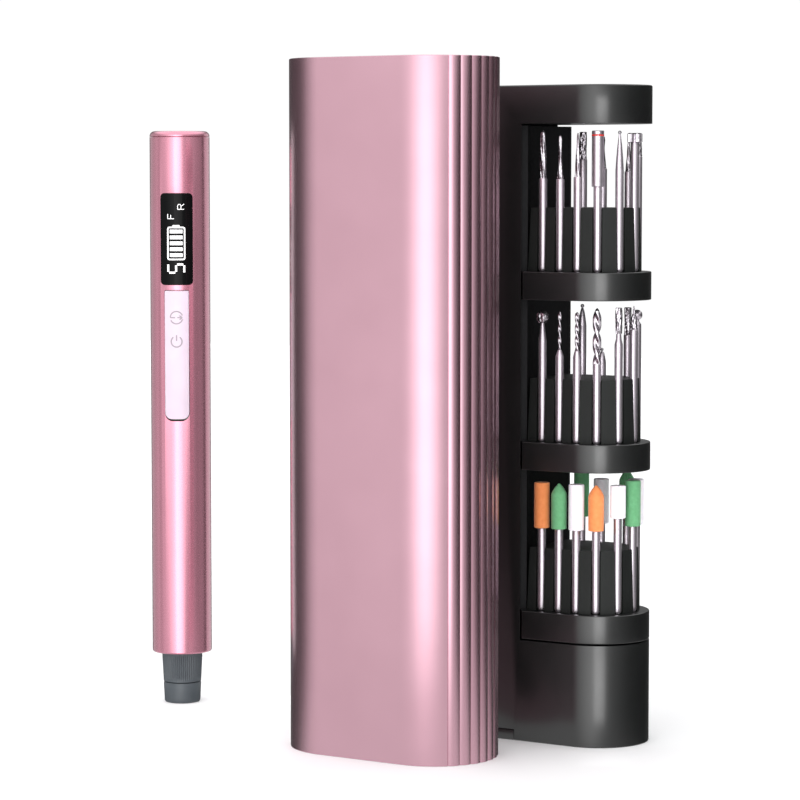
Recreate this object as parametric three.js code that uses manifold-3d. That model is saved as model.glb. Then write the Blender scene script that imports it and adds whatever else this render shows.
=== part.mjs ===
// Electric nail drill kit: a cordless pen handpiece, the aluminium sleeve of its case, and the bit rack
// that the sleeve slides over. Millimetres, +Z up, +X along the case, +Y to its back, origin under the middle.
import * as THREE from 'three';
import { mergeVertices } from 'three/addons/utils/BufferGeometryUtils.js';
import Module from 'manifold-3d';

const wasm = await Module();
wasm.setup();

// Clearances
const slideGap = 0.3; // between pieces that move past each other
const pressGap = 0.1; // between pieces that are pressed or glued together
const restGap = 0.05; // under a piece that stands on another

// Handpiece, standing on its nose
const penRadius = 9;
const penWall = 1.2;
const penHeight = 173.1;
const penTurn = 28.75; // degrees
const noseHeight = 6.3;
const noseRadius = 5.4;
const noseTopRadius = 5.7;
const collarTop = 15.25;
const collarRadius = 6.15;
const neckRadius = 3.85;
const spindleRadius = 2.6;
const spindleFrom = 1.2;
const boreDepth = 22;
const bearingHeight = 4;
const bearingSeat = 20;
const motorFrom = 44;
const motorLength = 26;
const motorShaftRadius = 1;
const batteryLength = 44;
const boardThickness = 1;
const displayHeight = 27.3;
const displayBelowTop = 18.6;
const keyHeight = 38.5;
const keyBelowDisplay = 1.8;
const switchBelowKeyTop = 11.4;
const keyProud = 0.15; // how far the key stands out of the tube
const endCapHeight = 1.7;
const endCapPlug = 6;
const portWidth = 8.94;
const portThickness = 3.26;
const portDepth = 7.3;
const portWall = 0.35;

// Bits
const shankRadius = 1.175; // 3/32 in. shank
const shankFoot = 0.9;
const longestBit = 39.4;
const bitRoom = 0.6; // over the longest bit
const fluteRadius = shankRadius + 0.175;
const boreRadius = shankRadius + 0.025;
const endFluteAngle = 2.5; // the middle one of the five round the end
const endFluteStep = 33.5;

// Rack: two round ends joined by flats
const rackEndRadius = 14.62;
const baseHeight = 28.8;
const baseWall = 2.6;
const basePlateThickness = 3;
const basePlateEdge = -5.5; // the plate shows at the rack's foot up to here
const capHeight = 10.7;
const seamRadius = 22.4; // the column's hollow face, about the centre of the right round end
const endGap = 0.5; // above and below the swinging rack
const cradleWall = 1.18; // between the handpiece's cradle and the column's hollow face
const cradleFloor = 6;
const cradleRoom = 1; // over the handpiece
const cradleCover = 4.9; // from there to the top of the rack

// Swinging bit rack
const hingeRadius = 2.6;
const hingeClear = 1.58; // the hinge's axis beyond the hollow face, along the case
const spineThickness = 1.8;
const spineBackInset = 1.6; // from the rack's back face to the spine's back corner
const spineFrontGap = 2.94; // degrees from the core's front corner back to the spine's front edge
const webAngle = 4; // the web to the knuckle takes this much of the circle beyond the spine's back edge
const pinRadius = 1.2;
const pinDepth = 6; // how far each pin goes into the knuckle, and into the frame
const trayCount = 3;
const trayHeight = 7.9;
const topRoom = 0.4; // over the uppermost tier
const coreHeight = 17.8;
const coreCorner = 4;
const coreReach = 0.15; // how far the core's front corner stands past the spine's inner face, in front of it
const fluteInset = 3.82; // from the rack's outline to each bit's axis
const coreLip = 1; // the core's faces beyond the bits' axes
const firstFlute = 4.4; // from the core's left face
const lastFlute = 1.08; // the last flute on the front flat, before the round end's centre
const backFlutes = [1.32, 0.16]; // the ones on the back flat, in steps from the first on the front

// Sleeve
const sleeveWall = 2.4;
const sleeveClearance = 0.54; // all round the rack
const sleeveHeadroom = 3;
const sleeveCapThickness = 4;
const reedCount = 8;
const reedStep = 11.6; // degrees round the right round end
const reedDepth = 0.48;

// Layout: the rack stands behind the sleeve and further right, the handpiece stands to their left
const rackBehind = 12.33; // between the sleeve's back face and the rack's front face
const rackOverhang = 23.92; // the rack's right end beyond the sleeve's
const penLeft = 56.16; // between the handpiece and the sleeve's left end
const penBehind = 31.5; // the handpiece's axis behind the sleeve's

// The rack is long enough for the cradle beside the bits, and tall enough for the handpiece and every tier.
const rackEndOffset = (seamRadius + cradleWall + 2 * penRadius - rackEndRadius) / 2;
const trayPitch = trayHeight + longestBit + bitRoom;
const rackHeight = Math.max(
  cradleFloor + penHeight + cradleRoom + cradleCover,
  baseHeight + 2 * endGap + trayCount * trayPitch + topRoom + capHeight);
const rackHalf = rackEndOffset + rackEndRadius;
const sleeveInside = rackEndRadius + sleeveClearance;
const sleeveOutside = sleeveInside + sleeveWall;
const sleeveHalf = rackEndOffset + sleeveOutside;
const sleeveHeight = rackHeight + sleeveHeadroom + sleeveCapThickness;
const wholeLength = 2 * penRadius + penLeft + 2 * sleeveHalf + rackOverhang;
const wholeDepth = 2 * sleeveOutside + rackBehind + 2 * rackEndRadius;
const sleeveX = -wholeLength / 2 + 2 * penRadius + penLeft + sleeveHalf;
const sleeveY = -wholeDepth / 2 + sleeveOutside;
const rackX = wholeLength / 2 - rackHalf;
const rackY = wholeDepth / 2 - rackEndRadius;
const penX = -wholeLength / 2 + penRadius;
const penY = sleeveY + penBehind;
const capBottom = rackHeight - capHeight;
const endCentre = new THREE.Vector2(rackEndOffset, 0);
const hingeX = rackEndOffset - seamRadius - hingeClear;
const hingeY = rackEndRadius - hingeRadius;
const spineOuter = seamRadius - slideGap - pressGap;
const spineInner = spineOuter - spineThickness;
const spineBackCorner = Math.asin((rackEndRadius - spineBackInset) / spineOuter);
const spineFrom = 180 - THREE.MathUtils.radToDeg(spineBackCorner); // degrees round the right round end
const rackFrom = baseHeight + endGap;
const rackTo = capBottom - endGap;
const fluteOffset = rackEndRadius - fluteInset; // from the rack's mid-line
const coreRadius = fluteOffset + coreLip;
const coreCornerAngle = Math.asin(coreRadius / (spineInner + coreReach));
const coreLeft = rackEndOffset - (spineInner + coreReach) * Math.cos(coreCornerAngle);
const spineTo = 180 + THREE.MathUtils.radToDeg(coreCornerAngle) - spineFrontGap;
const cradleX = -rackHalf + penRadius - slideGap;
const cradleRadius = penRadius + slideGap;

// Inside the handpiece
const penInside = penRadius - penWall;
const bearingRadius = penInside / 1.2;
const bearingTop = bearingSeat + 2 * bearingHeight + 3;
const motorRadius = penInside / 1.3;
const motorTop = motorFrom + motorLength;
const batteryRadius = penInside / 1.5;
const batteryTo = penHeight - 29.1;
const boardFront = penInside / 1.5;
const boardFrom = penHeight - 93.1;
const boardTo = penHeight - 13.1;
const displayTo = penHeight - displayBelowTop;
const displayFrom = displayTo - displayHeight;
const displayWidth = penRadius / 0.9375;
const keyTo = displayFrom - keyBelowDisplay;
const keyFrom = keyTo - keyHeight;
const keyWidth = penRadius * 0.8;
const switchHeight = keyTo - switchBelowKeyTop;
const switchFront = penInside - 1.6;
const buttonFront = switchFront + 0.55;
const keyFoot = buttonFront + 0.35;
const endCapSeam = penHeight - endCapHeight;

const black = 0x2b2d2c;
const pink = 0xcc8d9e;
const reach = 300; // longer than anything here, for cutters

const pinkMetal = () => new THREE.MeshStandardMaterial({ color: pink, roughness: 0.32, metalness: 0.85 });
const blackPlastic = () => new THREE.MeshStandardMaterial({ color: black, roughness: 0.42, metalness: 0 });
const corePlastic = () => new THREE.MeshStandardMaterial({ color: 0x3a3c3b, roughness: 0.6, metalness: 0 });
const steel = () => new THREE.MeshStandardMaterial({ color: 0xc8c2c6, roughness: 0.2, metalness: 1 });
const slate = () => new THREE.MeshStandardMaterial({ color: 0x3e444a, roughness: 0.5, metalness: 0.1 });
const glass = () => new THREE.MeshStandardMaterial({ color: 0x060608, roughness: 0.08, metalness: 0 });
const whitePlastic = () => new THREE.MeshStandardMaterial({ color: 0xf4e6ee, roughness: 0.35, metalness: 0 });
const board = () => new THREE.MeshStandardMaterial({ color: 0x12522f, roughness: 0.6, metalness: 0 });
const batteryWrap = () => new THREE.MeshStandardMaterial({ color: 0x2f5fa8, roughness: 0.45, metalness: 0 });
const silicone = (color) => () => new THREE.MeshStandardMaterial({ color, roughness: 0.75, metalness: 0 });
const orangeSilicone = silicone(0xf59a58);
const greenSilicone = silicone(0x7cc08a);
const whiteSilicone = silicone(0xf6f0f6);

const radians = THREE.MathUtils.degToRad;

// A merged, indexed copy of a geometry that holds only positions and no collapsed triangles.
function welded(geometry) {
  const bare = new THREE.BufferGeometry();
  const open = geometry.index ? geometry.toNonIndexed() : geometry;
  bare.setAttribute('position', open.getAttribute('position').clone());
  const merged = mergeVertices(bare, 1e-4);
  const kept = [];
  const index = merged.index.array;
  for (let i = 0; i < index.length; i += 3) {
    const [a, b, c] = [index[i], index[i + 1], index[i + 2]];
    if (a !== b && b !== c && c !== a) kept.push(a, b, c);
  }
  merged.setIndex(kept);
  return merged;
}

function solidFrom(geometry) {
  const { attributes, index } = welded(geometry);
  return new wasm.Manifold(new wasm.Mesh({
    numProp: 3,
    vertProperties: new Float32Array(attributes.position.array),
    triVerts: new Uint32Array(index.array),
  }));
}

function geometryFrom(solid) {
  const made = solid.getMesh();
  const geometry = new THREE.BufferGeometry();
  geometry.setAttribute('position', new THREE.BufferAttribute(new Float32Array(made.vertProperties), 3));
  geometry.setIndex(Array.from(made.triVerts));
  const flat = geometry.toNonIndexed();
  flat.computeVertexNormals();
  return flat;
}

const cut = (base, ...tools) => geometryFrom(
  tools.reduce((solid, tool) => solid.subtract(solidFrom(tool)), solidFrom(base)));
const join = (base, ...others) => geometryFrom(
  others.reduce((solid, other) => solid.add(solidFrom(other)), solidFrom(base)));
const overlapOf = (a, b) => geometryFrom(solidFrom(a).intersect(solidFrom(b)));

// Points on an arc, with degrees from and to, ends included.
function arc(x, y, radius, from, to, steps) {
  return Array.from({ length: steps + 1 }, (_, i) => {
    const angle = radians(from + (to - from) * i / steps);
    return new THREE.Vector2(x + radius * Math.cos(angle), y + radius * Math.sin(angle));
  });
}

// The outline shared by the rack, the sleeve and what fits in them: flats between two round ends.
function caseOutline(radius, steps = 20) {
  return [
    ...arc(rackEndOffset, 0, radius, -90, 90, steps),
    ...arc(-rackEndOffset, 0, radius, 90, 270, steps),
  ];
}

function prism(points, low, high, holes = []) {
  const shape = new THREE.Shape(points);
  shape.holes = holes.map((hole) => new THREE.Path(hole));
  const geometry = new THREE.ExtrudeGeometry(shape, { depth: high - low, bevelEnabled: false });
  return geometry.translate(0, 0, low);
}

const rectangle = (x0, x1, y0, y1) => [
  new THREE.Vector2(x0, y0), new THREE.Vector2(x1, y0), new THREE.Vector2(x1, y1), new THREE.Vector2(x0, y1)];
const block = (x0, x1, y0, y1, z0, z1) => prism(rectangle(x0, x1, y0, y1), z0, z1);
const rod = (x, y, radius, z0, z1, sides = 16) =>
  prism(arc(x, y, radius, 0, 360 - 360 / sides, sides - 1), z0, z1);

// A turned solid about Z from [radius, height] pairs that run up its outside from the axis and back to it.
function turned(profile, sides = 32) {
  const points = profile.map(([radius, height]) => new THREE.Vector2(radius, height));
  return new THREE.LatheGeometry(points, sides).rotateX(Math.PI / 2);
}

// A turned ring, whose profile runs anticlockwise and closes on itself.
const ring = (profile, sides) => turned([...profile, profile[0]], sides);

const plainRing = (inner, outer, z0, z1, sides = 32) =>
  ring([[inner, z0], [outer, z0], [outer, z1], [inner, z1]], sides);

function named(name, geometry, material) {
  const mesh = new THREE.Mesh(geometry, material());
  mesh.name = name;
  return mesh;
}

function group(...children) {
  const made = new THREE.Group();
  made.add(...children);
  return made;
}

// ---- Sleeve ----

// Its right round end is reeded: each reed is a low arch between two valleys.
function reededOutline() {
  const side = reedCount / 2 * reedStep;
  const steps = 4;
  const reeds = [];
  for (let i = 0; i < reedCount * steps; i += 1) {
    const share = (i % steps) / steps;
    const radius = sleeveOutside - reedDepth * (1 - 4 * share * (1 - share));
    const angle = radians(-side + reedStep * i / steps);
    reeds.push(new THREE.Vector2(rackEndOffset + radius * Math.cos(angle), radius * Math.sin(angle)));
  }
  return [
    ...arc(rackEndOffset, 0, sleeveOutside, -90, -side - 1, 5),
    ...reeds,
    ...arc(rackEndOffset, 0, sleeveOutside, side + 1, 90, 5),
    ...arc(-rackEndOffset, 0, sleeveOutside, 90, 270, 20),
  ];
}

function coverSleeve() {
  return prism(reededOutline(), 0, sleeveHeight, [caseOutline(sleeveInside)]);
}

function coverEndCap() {
  return prism(caseOutline(sleeveInside - pressGap), sleeveHeight - sleeveCapThickness, sleeveHeight);
}

// ---- Rack frame: base, column and cap in one moulding ----

function rackBay() {
  const low = baseHeight;
  const pocket = hingeRadius + slideGap + pressGap;
  const spineEdge = (spineInner + spineOuter) / 2 * Math.sin(radians(spineFrom));
  const webSide = Math.min(hingeY, spineEdge) - spineThickness / 2;
  return [
    rod(endCentre.x, endCentre.y, seamRadius, low, capBottom, 64),
    block(endCentre.x, reach, -reach, reach, low, capBottom),
    rod(hingeX, hingeY, pocket, low, capBottom, 20),
    block(hingeX, endCentre.x, webSide - slideGap, reach, low, capBottom),
    block(hingeX - pocket, endCentre.x, hingeY, reach, low, capBottom),
  ];
}

function handpieceCradle() {
  const top = cradleFloor + penHeight + cradleRoom;
  return [
    rod(cradleX, 0, cradleRadius, cradleFloor, top, 32),
    block(-reach, cradleX, -cradleRadius, cradleRadius, cradleFloor, top),
  ];
}

// The hollow under the base, which starts beyond the wall of the cradle.
function baseHollow(radius, low, high) {
  return overlapOf(
    prism(caseOutline(radius), low, high),
    block(cradleX + cradleRadius + baseWall, reach, -reach, reach, low - 1, high + 1));
}

function rackFrame() {
  const whole = prism(caseOutline(rackEndRadius), 0, rackHeight);
  const plateRoom = join(
    prism(caseOutline(rackEndRadius - baseWall), -1, basePlateThickness + pressGap),
    block(-reach, basePlateEdge + pressGap, -reach, reach, -1, basePlateThickness + pressGap));
  const hollow = baseHollow(rackEndRadius - baseWall, basePlateThickness - 1, baseHeight - baseWall);
  const pinHoles = [
    rod(hingeX, hingeY, pinRadius + pressGap, baseHeight - pinDepth, baseHeight + 1, 12),
    rod(hingeX, hingeY, pinRadius + pressGap, capBottom - 1, capBottom + pinDepth, 12),
  ];
  return cut(whole, ...rackBay(), ...handpieceCradle(), plateRoom, hollow, ...pinHoles);
}

function rackBasePlate() {
  return join(
    prism(caseOutline(rackEndRadius - baseWall - pressGap), 0, basePlateThickness),
    overlapOf(
      prism(caseOutline(rackEndRadius), 0, basePlateThickness),
      block(-reach, basePlateEdge, -reach, reach, -1, basePlateThickness + 1)));
}

function hingePin(low) {
  return rod(hingeX, hingeY, pinRadius, low, low + 2 * pinDepth + endGap - 2 * pressGap, 12);
}

// ---- Swinging bit rack ----

const trayBottom = (tray) => rackFrom + (trayCount - 1 - tray) * trayPitch;
const trayTop = (tray) => trayBottom(tray) + trayHeight;

function sector(inner, outer, from, to, low, high, steps = 12) {
  const points = [
    ...arc(endCentre.x, endCentre.y, outer, from, to, steps),
    ...arc(endCentre.x, endCentre.y, inner, to, from, steps),
  ];
  return prism(points, low, high);
}

// A hollow wall along the column's side of the trays, with a hinge knuckle at its back edge.
function rackSpine() {
  const edge = radians(spineFrom);
  const middle = (spineInner + spineOuter) / 2;
  const from = new THREE.Vector2(endCentre.x + middle * Math.cos(edge), middle * Math.sin(edge));
  const to = new THREE.Vector2(hingeX, hingeY);
  const along = to.clone().sub(from).normalize();
  const across = new THREE.Vector2(-along.y, along.x).multiplyScalar(spineThickness / 2);
  const start = from.clone().addScaledVector(along, -spineThickness / 3);
  const web = [
    start.clone().sub(across), start.clone().add(across), to.clone().add(across), to.clone().sub(across)];
  const hole = pinRadius + pressGap;
  const depth = pinDepth + slideGap;
  return cut(
    join(
      sector(spineInner, spineOuter, spineFrom, spineTo, rackFrom, rackTo),
      prism(web.reverse(), rackFrom, rackTo),
      rod(hingeX, hingeY, hingeRadius, rackFrom, rackTo, 20)),
    rod(hingeX, hingeY, hole, rackFrom - 1, rackFrom + depth, 12),
    rod(hingeX, hingeY, hole, rackTo - depth, rackTo + 1, 12));
}

function bitTray(tray) {
  const low = trayBottom(tray);
  const high = trayTop(tray);
  return cut(
    overlapOf(
      prism(caseOutline(rackEndRadius, 24), low, high),
      rod(endCentre.x, endCentre.y, spineOuter, low - 1, high + 1, 64)),
    sector(spineInner - slideGap, reach, spineFrom - webAngle, spineTo + 0.5, low - 1, high + 1));
}

// Where the bits stand in each tier: three along the front, five round the end, two along the back.
function flutePlaces() {
  const first = coreLeft + firstFlute;
  const spacing = (rackEndOffset - lastFlute - first) / 2;
  const places = [0, 1, 2].map((i) => ({ x: first + spacing * i, y: -fluteOffset }));
  for (let i = -2; i <= 2; i += 1) {
    const angle = radians(endFluteAngle + endFluteStep * i);
    places.push({
      x: endCentre.x + fluteOffset * Math.cos(angle),
      y: fluteOffset * Math.sin(angle),
    });
  }
  const back = backFlutes.map((i) => ({ x: first + spacing * i, y: fluteOffset }));
  return [...places, ...back];
}

function bitCore(tray) {
  const low = trayTop(tray) + restGap;
  const high = low + coreHeight;
  const outline = [
    ...arc(endCentre.x, endCentre.y, coreRadius, -90, 90, 10),
    ...arc(coreLeft + coreCorner, coreRadius - coreCorner, coreCorner, 90, 180, 3),
    new THREE.Vector2(coreLeft, -coreRadius),
  ];
  const flutes = flutePlaces().map(({ x, y }) => rod(x, y, fluteRadius, low - 1, high + 1, 12));
  return cut(prism(outline, low, high), ...flutes);
}

// ---- Bits: each head's profile starts where the shank ends ----

const barrelHead = (radius, length) => [
  [radius, 0], [radius * 1.1, length * 0.4], [radius * 0.8, length * 0.85], [radius * 0.4, length]];
const coneHead = (radius, length) => [[radius, 0], [radius * 0.55, length * 0.5], [radius * 0.3, length]];
const cylinderHead = (radius, length) => [[radius, 0], [radius, length]];
const flameHead = (radius, length) => [[radius, 0], [radius * 0.35, length * 0.9], [radius * 0.25, length]];
const drillHead = (radius, length) => [[radius, 0.6], [radius, length - 0.5], [radius * 0.3, length]];
const ballHead = (radius, length) => {
  const centre = length - radius;
  const neck = [shankRadius * 0.45, centre - radius * 0.85];
  return [neck, ...[-40, 0, 40, 75].map((angle) => [
    radius * Math.cos(radians(angle)), centre + radius * Math.sin(radians(angle))])];
};
const ogiveHead = (radius, length) => [
  [radius, 0], [radius, length - 1.35 * radius], [radius * 0.6, length - 0.6 * radius], [0.2, length]];
const neckedHead = (radius, length) => [
  [shankRadius * 0.6, 3], [radius, 3.2], [radius, length]];
const discHead = (radius, length) => [[shankRadius, 0], [radius, 0.3], [radius, length]];

const headKinds = {
  barrel: barrelHead,
  cone: coneHead,
  cylinder: cylinderHead,
  flame: flameHead,
  drill: drillHead,
  ball: ballHead,
  ogive: ogiveHead,
  necked: neckedHead,
  disc: discHead,
};

// Head kind, head radius, head length and whole length of each bit, round each tier from its front left.
const tiers = [
  [
    ['barrel', 1.05, 13.2, longestBit], ['cone', 1.0, 12, 38], ['cone', 1.0, 12, 38.6],
    ['cylinder', 1.75, 15.5, 39.2], ['flame', 1.15, 10.5, 39.2], ['disc', 2.3, 2.7, 38.6],
    ['barrel', 1.2, 5, 37.4], ['cone', 1.0, 9, 37.2], ['flame', 1.1, 9, 38], ['cylinder', 1.15, 7.5, 39.2],
  ],
  [
    ['ball', 1.65, 7, 36.9], ['drill', 0.5, 11.6, 37], ['drill', 0.65, 11.6, 36.8],
    ['drill', 1.15, 15.7, 38], ['necked', 1.1, 10.3, 38], ['cone', 1.15, 6, 38.3],
    ['ball', 1.5, 5, 37], ['cylinder', 1.1, 7.6, 37.4], ['flame', 1.1, 4, 25.6], ['drill', 1.0, 9, 38],
  ],
  [
    ['cylinder', 2.2, 12.9, 36.4], ['ogive', 2.2, 12.9, 36.4], ['cylinder', 2.2, 12.9, 36.4],
    ['ogive', 2.2, 12.9, 36.4], ['cylinder', 2.2, 9.2, 36.2], ['cylinder', 2.2, 12.9, 37.2],
    ['cylinder', 2.2, 12.9, 37], ['ogive', 2.2, 12.9, 39.2], ['cylinder', 2.2, 12.9, 36],
    ['cylinder', 2.2, 12.9, 37.6],
  ],
];
const siliconeHeads = [
  orangeSilicone, greenSilicone, whiteSilicone, orangeSilicone, whiteSilicone,
  greenSilicone, whiteSilicone, greenSilicone, whiteSilicone, greenSilicone,
];

function bit(kind, headRadius, headLength, length) {
  const shankTop = length - headLength;
  const head = headKinds[kind](headRadius, headLength).map(([radius, height]) => [radius, shankTop + height]);
  const shank = [[0, 0], [shankFoot, 0], [shankRadius, 0.8], [shankRadius, shankTop - 0.2]];
  return turned([...shank, ...head, [0, length]], 10);
}

function tierOfBits(tray) {
  return flutePlaces().map(({ x, y }, place) => {
    const [kind, headRadius, headLength, length] = tiers[tray][place];
    const material = tray === 2 ? siliconeHeads[place] : steel;
    const name = `bit_${tray + 1}_${String(place + 1).padStart(2, '0')}_${kind}`;
    const made = named(name, bit(kind, headRadius, headLength, length), material);
    made.position.set(x, y, trayTop(tray) + restGap);
    return made;
  });
}

// ---- Handpiece, its front towards -Y before it is turned ----

const penFront = (halfWidth, z0, z1) => block(-halfWidth, halfWidth, -reach, 0, z0, z1);

function bodyTube() {
  const tube = ring([
    [neckRadius + pressGap, collarTop + slideGap], [penRadius - 0.5, collarTop + slideGap],
    [penRadius, collarTop + slideGap + 0.5], [penRadius, endCapSeam - restGap],
    [penInside, endCapSeam - restGap],
    [penInside, bearingTop], [bearingRadius + pressGap, bearingTop],
    [bearingRadius + pressGap, bearingSeat], [neckRadius + pressGap, bearingSeat]], 40);
  const fit = pressGap + slideGap / 2;
  return cut(
    tube,
    penFront(displayWidth / 2 + pressGap, displayFrom - pressGap, displayTo + pressGap),
    penFront(keyWidth / 2 + fit, keyFrom - fit, keyTo + fit));
}

function displayLens() {
  return overlapOf(
    plainRing(penInside, penRadius - 0.05, displayFrom, displayTo, 40),
    penFront(displayWidth / 2, displayFrom, displayTo));
}

function displayPanel() {
  const half = displayWidth / 2 - 0.6;
  return block(-half, half, -penInside / 1.2, -boardFront - restGap, displayFrom + 0.8, displayTo - 1);
}

function controlBoard() {
  const half = Math.sqrt(penInside ** 2 - boardFront ** 2) - 4 * pressGap;
  return block(-half, half, -boardFront, -boardFront + boardThickness, boardFrom, boardTo);
}

// A lever that follows the tube's curve, with a foot that reaches in to the switch.
function keyStrip() {
  const foot = 1.5;
  const skin = overlapOf(
    plainRing(penInside, penRadius + keyProud, keyFrom, keyTo, 40),
    penFront(keyWidth / 2, keyFrom, keyTo));
  return join(skin, block(-foot, foot, -penInside - 0.4, -keyFoot, switchHeight - foot, switchHeight + foot));
}

function keySwitch() {
  const half = 2.6;
  const button = 0.9;
  return join(
    block(-half, half, -switchFront, -boardFront - restGap, switchHeight - half, switchHeight + half),
    block(-button, button, -buttonFront, -switchFront + 0.2, switchHeight - button, switchHeight + button));
}

const battery = () => rod(
  0, penInside - batteryRadius - 4 * pressGap, batteryRadius, batteryTo - batteryLength, batteryTo, 24);

function motorCan() {
  const wall = 0.5;
  const end = 1;
  const hole = motorShaftRadius + 0.6;
  return ring([
    [hole, motorFrom], [motorRadius, motorFrom], [motorRadius, motorTop], [hole, motorTop],
    [hole, motorTop - end], [motorRadius - wall, motorTop - end], [motorRadius - wall, motorFrom + end],
    [hole, motorFrom + end]], 24);
}

function rotorShaft() {
  const rotor = motorRadius - 1.4;
  return turned([
    [0, motorFrom - 5], [motorShaftRadius, motorFrom - 5], [motorShaftRadius, motorFrom + 3],
    [rotor, motorFrom + 3], [rotor, motorTop - 4], [motorShaftRadius, motorTop - 4],
    [motorShaftRadius, motorTop + 1], [0, motorTop + 1]], 20);
}

const couplingFrom = bearingTop + 2;
const couplingTo = motorFrom - 1;
const spindleDepth = 5; // how far the spindle goes into the coupling

function shaftCoupling() {
  const outside = 4;
  const shaftDepth = motorFrom - couplingTo + 3.2;
  return turned([
    [0, couplingFrom + spindleDepth], [spindleRadius + pressGap, couplingFrom + spindleDepth],
    [spindleRadius + pressGap, couplingFrom], [outside, couplingFrom], [outside, couplingTo],
    [motorShaftRadius + pressGap, couplingTo], [motorShaftRadius + pressGap, couplingTo - shaftDepth],
    [0, couplingTo - shaftDepth]], 20);
}

// The spindle is also the collet: the bit's shank goes up its bore.
function spindle() {
  const high = couplingFrom + spindleDepth - 2 * pressGap;
  return turned([
    [0, spindleFrom + boreDepth], [boreRadius, spindleFrom + boreDepth], [boreRadius, spindleFrom],
    [spindleRadius, spindleFrom], [spindleRadius, high], [0, high]], 20);
}

const bearing = (place) => {
  const low = bearingSeat + restGap + place * (bearingHeight + 1.5);
  return plainRing(spindleRadius + slideGap / 3, bearingRadius, low, low + bearingHeight, 32);
};

function noseTip() {
  const bore = spindleRadius + slideGap;
  const neckTop = bearingSeat - 2 * pressGap;
  return ring([
    [bore, 0], [noseRadius - 0.4, 0], [noseRadius, 0.4], [noseTopRadius, noseHeight - slideGap / 2],
    [neckRadius, noseHeight - slideGap / 2], [neckRadius, neckTop], [bore, neckTop]], 32);
}

function lockCollar() {
  const bore = neckRadius + slideGap;
  return ring([
    [bore, noseHeight + slideGap / 2], [noseTopRadius, noseHeight + slideGap / 2],
    [collarRadius, collarTop - 0.3], [collarRadius - 0.3, collarTop], [bore, collarTop]], 40);
}

const portOutline = (grow) => {
  const radius = portThickness / 2 + grow;
  const offset = (portWidth - portThickness) / 2;
  return [...arc(offset, 0, radius, -90, 90, 8), ...arc(-offset, 0, radius, 90, 270, 8)];
};

function endCap() {
  const body = turned([
    [0, endCapSeam - endCapPlug], [penInside - pressGap, endCapSeam - endCapPlug],
    [penInside - pressGap, endCapSeam], [penRadius, endCapSeam], [penRadius, penHeight - 1.2],
    [penRadius - 0.35, penHeight - 0.35], [penRadius - 1.2, penHeight], [0, penHeight]], 40);
  return cut(body, prism(portOutline(pressGap), endCapSeam - endCapPlug - 1, penHeight + 1));
}

function chargingPort() {
  const top = penHeight - 0.3;
  return cut(
    prism(portOutline(0), top - portDepth, top),
    prism(portOutline(-portWall), top - portDepth + 1, top + 1));
}

const handpiece = group(
  named('pen_nose_tip', noseTip(), slate),
  named('pen_lock_collar', lockCollar(), slate),
  named('pen_body_tube', bodyTube(), pinkMetal),
  named('pen_end_cap', endCap(), pinkMetal),
  named('pen_usb_port', chargingPort(), steel),
  named('pen_display_lens', displayLens(), glass),
  named('pen_display_panel', displayPanel(), glass),
  named('pen_control_board', controlBoard(), board),
  named('pen_key_strip', keyStrip(), whitePlastic),
  named('pen_key_switch', keySwitch(), blackPlastic),
  named('pen_battery', battery(), batteryWrap),
  named('pen_motor_can', motorCan(), steel),
  named('pen_rotor_shaft', rotorShaft(), steel),
  named('pen_shaft_coupling', shaftCoupling(), steel),
  named('pen_spindle', spindle(), steel),
  named('pen_front_bearing', bearing(0), steel),
  named('pen_rear_bearing', bearing(1), steel));
handpiece.position.set(penX, penY, 0);
handpiece.rotation.z = radians(penTurn);

const sleeve = group(
  named('cover_sleeve', coverSleeve(), pinkMetal),
  named('cover_end_cap', coverEndCap(), blackPlastic));
sleeve.position.set(sleeveX, sleeveY, 0);

const swingingRack = group(named('rack_spine', rackSpine(), blackPlastic));
for (let tray = 0; tray < trayCount; tray += 1) {
  swingingRack.add(
    named(`bit_tray_${tray + 1}`, bitTray(tray), blackPlastic),
    named(`bit_core_${tray + 1}`, bitCore(tray), corePlastic),
    ...tierOfBits(tray));
}

const rack = group(
  named('rack_frame', rackFrame(), blackPlastic),
  named('rack_base_plate', rackBasePlate(), blackPlastic),
  named('hinge_pin_lower', hingePin(baseHeight - pinDepth + pressGap), steel),
  named('hinge_pin_upper', hingePin(rackTo - pinDepth + pressGap), steel),
  swingingRack);
rack.position.set(rackX, rackY, 0);

export default group(handpiece, sleeve, rack);
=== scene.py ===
import math

import bmesh
import bpy
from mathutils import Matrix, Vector


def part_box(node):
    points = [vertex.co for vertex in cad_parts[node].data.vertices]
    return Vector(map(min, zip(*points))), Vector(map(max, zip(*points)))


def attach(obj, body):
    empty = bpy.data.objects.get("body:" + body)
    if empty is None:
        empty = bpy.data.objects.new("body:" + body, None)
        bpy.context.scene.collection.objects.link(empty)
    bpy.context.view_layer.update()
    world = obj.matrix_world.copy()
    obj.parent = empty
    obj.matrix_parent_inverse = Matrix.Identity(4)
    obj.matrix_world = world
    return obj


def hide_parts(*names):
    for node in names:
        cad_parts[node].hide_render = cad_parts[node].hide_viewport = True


# The looks of a cordless nail drill kit: a pen handpiece, its case's pink sleeve, and a black rack of bits.

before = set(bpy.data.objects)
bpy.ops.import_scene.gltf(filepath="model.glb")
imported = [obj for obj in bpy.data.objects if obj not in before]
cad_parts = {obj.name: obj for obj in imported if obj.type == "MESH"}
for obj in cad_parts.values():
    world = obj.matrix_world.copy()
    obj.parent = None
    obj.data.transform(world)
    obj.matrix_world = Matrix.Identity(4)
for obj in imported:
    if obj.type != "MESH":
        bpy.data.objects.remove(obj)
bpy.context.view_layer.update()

MM = 0.001


# ---- Places, taken from the frame, in millimetres ----

def box_mm(node):
    low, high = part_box(node)
    return [v / MM for v in low], [v / MM for v in high]


def middle_mm(node):
    low, high = box_mm(node)
    return [(a + b) / 2 for a, b in zip(low, high)]


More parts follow.
